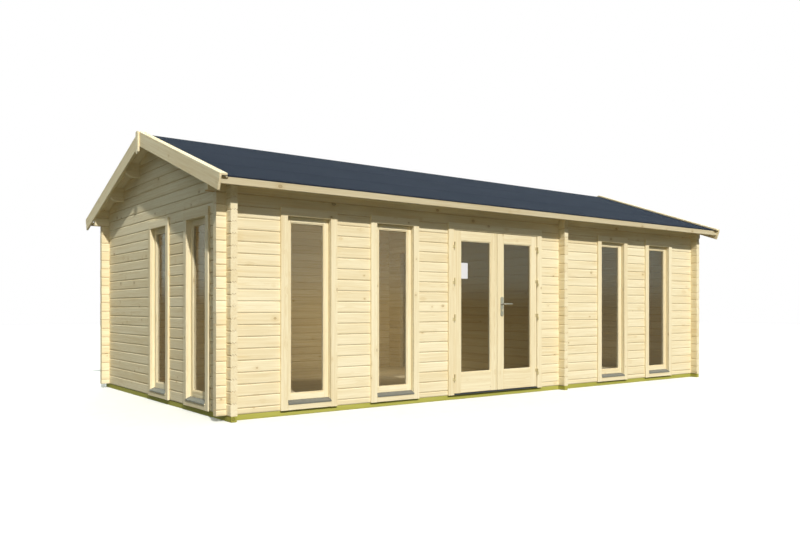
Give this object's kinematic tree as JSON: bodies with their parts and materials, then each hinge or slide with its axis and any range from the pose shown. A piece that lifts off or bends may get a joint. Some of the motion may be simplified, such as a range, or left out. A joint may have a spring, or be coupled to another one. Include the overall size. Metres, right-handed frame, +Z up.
{
  "type": "log cabin",
  "caption": "Two-room garden cabin of interlocking spruce logs under a shallow felted saddle roof, with tall narrow windows and a glazed double door that swings outward.",
  "frame": {"origin": "on the ground, under the middle of the whole cabin", "axes": "+X along the front to the right, +Y from the front to the back, +Z up"},
  "size_m": [8.234, 4.494, 3.0735],
  "materials": {
    "spruce": "planed untreated spruce, pale, with small knots",
    "treated_beam": "green pressure-treated pine",
    "roof_felt": "mineral-faced roofing felt, slate blue-grey",
    "glass": "clear pane",
    "grey_flashing": "grey coated sheet",
    "dark_threshold": "dark grey anodised sill",
    "door_steel": "satin steel"
  },
  "bodies": {
    "root": {"apex_boards": "spruce", "back_bargeboards": "spruce", "back_fascia": "spruce", "back_ground_beams": "treated_beam", "back_roof_boards": "spruce", "back_roof_felt": "roof_felt", "back_verge_caps": "spruce", "back_wall": "spruce", "door_casing": "spruce", "door_frame_hinges": "door_steel", "door_head": "spruce", "door_posts": "spruce", "door_threshold": "dark_threshold", "floor_boards": "spruce", "floor_joists": "treated_beam", "front_bargeboards": "spruce", "front_fascia": "spruce", "front_ground_beams": "treated_beam", "front_roof_boards": "spruce", "front_roof_felt": "roof_felt", "front_verge_caps": "spruce", "front_wall_between_left_windows": "spruce", "front_wall_between_right_windows": "spruce", "front_wall_left_end": "spruce", "front_wall_left_of_door": "spruce", "front_wall_right_end": "spruce", "front_wall_right_of_door": "spruce", "front_wall_sill_logs": "spruce", "front_wall_upper_logs": "spruce", "left_gable": "spruce", "left_wall_back_end": "spruce", "left_wall_between_windows": "spruce", "left_wall_bottom_log": "spruce", "left_wall_front_end": "spruce", "partition_back": "spruce", "partition_front": "spruce", "partition_upper_logs": "spruce", "purlins": "spruce", "right_wall": "spruce", "side_ground_beams": "treated_beam", "window_casings": "spruce", "window_flashings": "grey_flashing", "window_frames": "spruce", "window_glass": "glass", "window_sashes": "spruce"},
    "left_door": {"left_door_glass": "glass", "left_door_hinges": "door_steel", "left_door_leaf": "spruce"},
    "right_door": {"right_door_glass": "glass", "right_door_hinges": "door_steel", "right_door_leaf": "spruce", "right_door_lock_plates": "door_steel"},
    "door_lever": {"door_lever_handles": "door_steel"}
  },
  "joints": [
    {"name": "left_door_hinge", "type": "hinge", "parent": "root", "child": "left_door", "pos_m": [-1.06133, -1.959, 0.055], "axis": [0, 0, -1], "range_deg": [0, 150]},
    {"name": "right_door_hinge", "type": "hinge", "parent": "root", "child": "right_door", "pos_m": [0.33467, -1.959, 0.055], "axis": [0, 0, 1], "range_deg": [0, 150]},
    {"name": "door_lever_turn", "type": "hinge", "parent": "right_door", "child": "door_lever", "pos_m": [-0.28583, -1.937, 1.121], "axis": [0, 1, 0], "range_deg": [0, 40], "stiffness_Nm_per_rad": 1.5, "springref_deg": -34.38}
  ]
}
